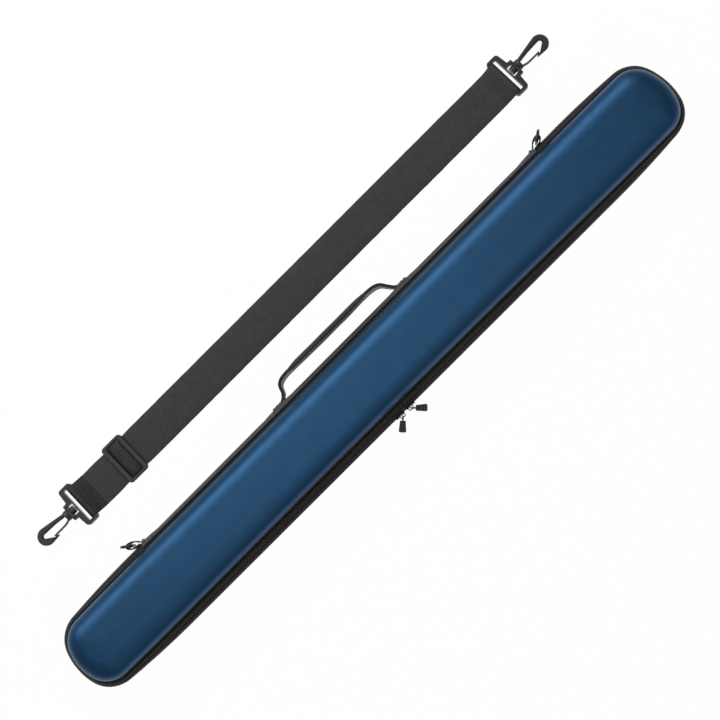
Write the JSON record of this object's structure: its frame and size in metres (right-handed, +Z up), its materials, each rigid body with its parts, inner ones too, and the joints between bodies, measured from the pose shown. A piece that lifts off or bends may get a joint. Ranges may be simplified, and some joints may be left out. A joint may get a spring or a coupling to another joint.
{
  "type": "cue carry case with shoulder strap",
  "caption": "Long moulded clamshell carry case with a zip, a cloth spine, a padded handle and D-rings, and its clip-on shoulder strap laid beside it.",
  "frame": {"origin": "centre of the flat bottom of the base shell, which the case rests on", "axes": "+X along the case towards its right-hand end, +Y from the zip side to the handle side, +Z up through the lid"},
  "size_m": [0.83, 0.2112, 0.062],
  "materials": {
    "shell": "moulded hard foam skin with a satin metallic cloth finish",
    "band": "woven cover over the side of the shell",
    "zip_tape": "woven zip tape",
    "zip_coil": "moulded nylon coil",
    "zip_metal": "glossy black coated die casting",
    "pull": "moulded tab",
    "spine": "heavy twill",
    "webbing": "woven webbing",
    "grip": "padded cloth with whipped edge",
    "moulding": "injection moulded acetal",
    "wire": "black coated steel wire",
    "foam": "closed-cell foam with a plush face",
    "elastic": "woven elastic"
  },
  "bodies": {
    "base": {"base_shell": "shell", "base_band": "band", "base_zip_tape": "zip_tape", "base_zip_coil": "zip_coil", "zip_stops": "zip_metal", "cue_tray": "foam", "retaining_band_left": "elastic", "retaining_band_right": "elastic"},
    "spine": {"spine_panel": "spine", "handle_cuff_left": "webbing", "handle_cuff_right": "webbing", "ring_cuff_left": "webbing", "ring_cuff_right": "webbing", "ring_loop_left": "webbing", "ring_loop_right": "webbing"},
    "lid": {"lid_shell": "shell", "lid_band": "band", "lid_zip_tape": "zip_tape", "lid_zip_coil": "zip_coil", "lid_pad": "foam"},
    "handle": {"handle_webbing": "webbing", "handle_grip": "grip"},
    "strap": {"strap_webbing": "webbing", "hook_ring_left": "moulding", "hook_ring_right": "moulding"},
    "glide": {"tri_glide": "moulding", "glide_webbing": "webbing"},
    "d_ring_left": {"d_ring_left": "wire"},
    "slider_left": {"slider_left": "zip_metal"},
    "pull_left": {"pull_link_left": "zip_metal", "pull_tab_left": "pull"},
    "hook_left": {"hook_left": "moulding"},
    "gate_left": {"hook_gate_left": "moulding"},
    "d_ring_right": {"d_ring_right": "wire"},
    "slider_right": {"slider_right": "zip_metal"},
    "pull_right": {"pull_link_right": "zip_metal", "pull_tab_right": "pull"},
    "hook_right": {"hook_right": "moulding"},
    "gate_right": {"hook_gate_right": "moulding"}
  },
  "joints": [
    {"name": "spine_fold", "type": "hinge", "parent": "base", "child": "spine", "pos_m": [0, 0.041, 0.0205], "axis": [-1, 0, 0], "range_deg": [0, 50]},
    {"name": "lid_fold", "type": "hinge", "parent": "spine", "child": "lid", "pos_m": [0, 0.041, 0.0415], "axis": [-1, 0, 0], "range_deg": [0, 90]},
    {"name": "handle_tilt", "type": "hinge", "parent": "spine", "child": "handle", "pos_m": [-0.0015, 0.0533, 0.031], "axis": [-1, 0, 0], "range_deg": [-40, 40]},
    {"name": "strap_lift", "type": "slide", "parent": "base", "child": "strap", "axis": [0, 0, 1], "range_m": [0, 0.25]},
    {"name": "glide_slide", "type": "slide", "parent": "strap", "child": "glide", "axis": [1, 0, 0], "range_m": [-0.035, 0.3]},
    {"name": "d_ring_swing_left", "type": "hinge", "parent": "spine", "child": "d_ring_left", "pos_m": [-0.2908, 0.0515, 0.031], "axis": [0, 0, 1], "range_deg": [-90, 38]},
    {"name": "slider_run_left", "type": "slide", "parent": "base", "child": "slider_left", "axis": [-1, 0, 0], "range_m": [0, 0.285]},
    {"name": "pull_swing_left", "type": "hinge", "parent": "slider_left", "child": "pull_left", "pos_m": [-0.0072, -0.04865, 0.031], "axis": [0, 0, 1], "range_deg": [-24, 55]},
    {"name": "hook_swivel_left", "type": "hinge", "parent": "strap", "child": "hook_left", "pos_m": [-0.3213, 0.1265, 0.006], "axis": [-1, 0, 0], "continuous": true},
    {"name": "gate_flex_left", "type": "hinge", "parent": "hook_left", "child": "gate_left", "pos_m": [-0.3263, 0.12251, 0.006], "axis": [0, 0, -1], "range_deg": [0, 17], "stiffness_Nm_per_rad": 0.05},
    {"name": "d_ring_swing_right", "type": "hinge", "parent": "spine", "child": "d_ring_right", "pos_m": [0.2818, 0.0515, 0.031], "axis": [0, 0, 1], "range_deg": [-38, 90]},
    {"name": "slider_run_right", "type": "slide", "parent": "base", "child": "slider_right", "axis": [1, 0, 0], "range_m": [0, 0.285]},
    {"name": "pull_swing_right", "type": "hinge", "parent": "slider_right", "child": "pull_right", "pos_m": [0.0042, -0.04865, 0.031], "axis": [0, 0, 1], "range_deg": [-55, 24]},
    {"name": "hook_swivel_right", "type": "hinge", "parent": "strap", "child": "hook_right", "pos_m": [0.3298, 0.1265, 0.006], "axis": [1, 0, 0], "continuous": true},
    {"name": "gate_flex_right", "type": "hinge", "parent": "hook_right", "child": "gate_right", "pos_m": [0.3348, 0.12251, 0.006], "axis": [0, 0, 1], "range_deg": [0, 17], "stiffness_Nm_per_rad": 0.05}
  ],
  "couplings": [
    {"joint": "lid_fold", "follows": "spine_fold", "ratio": 1.8}
  ]
}
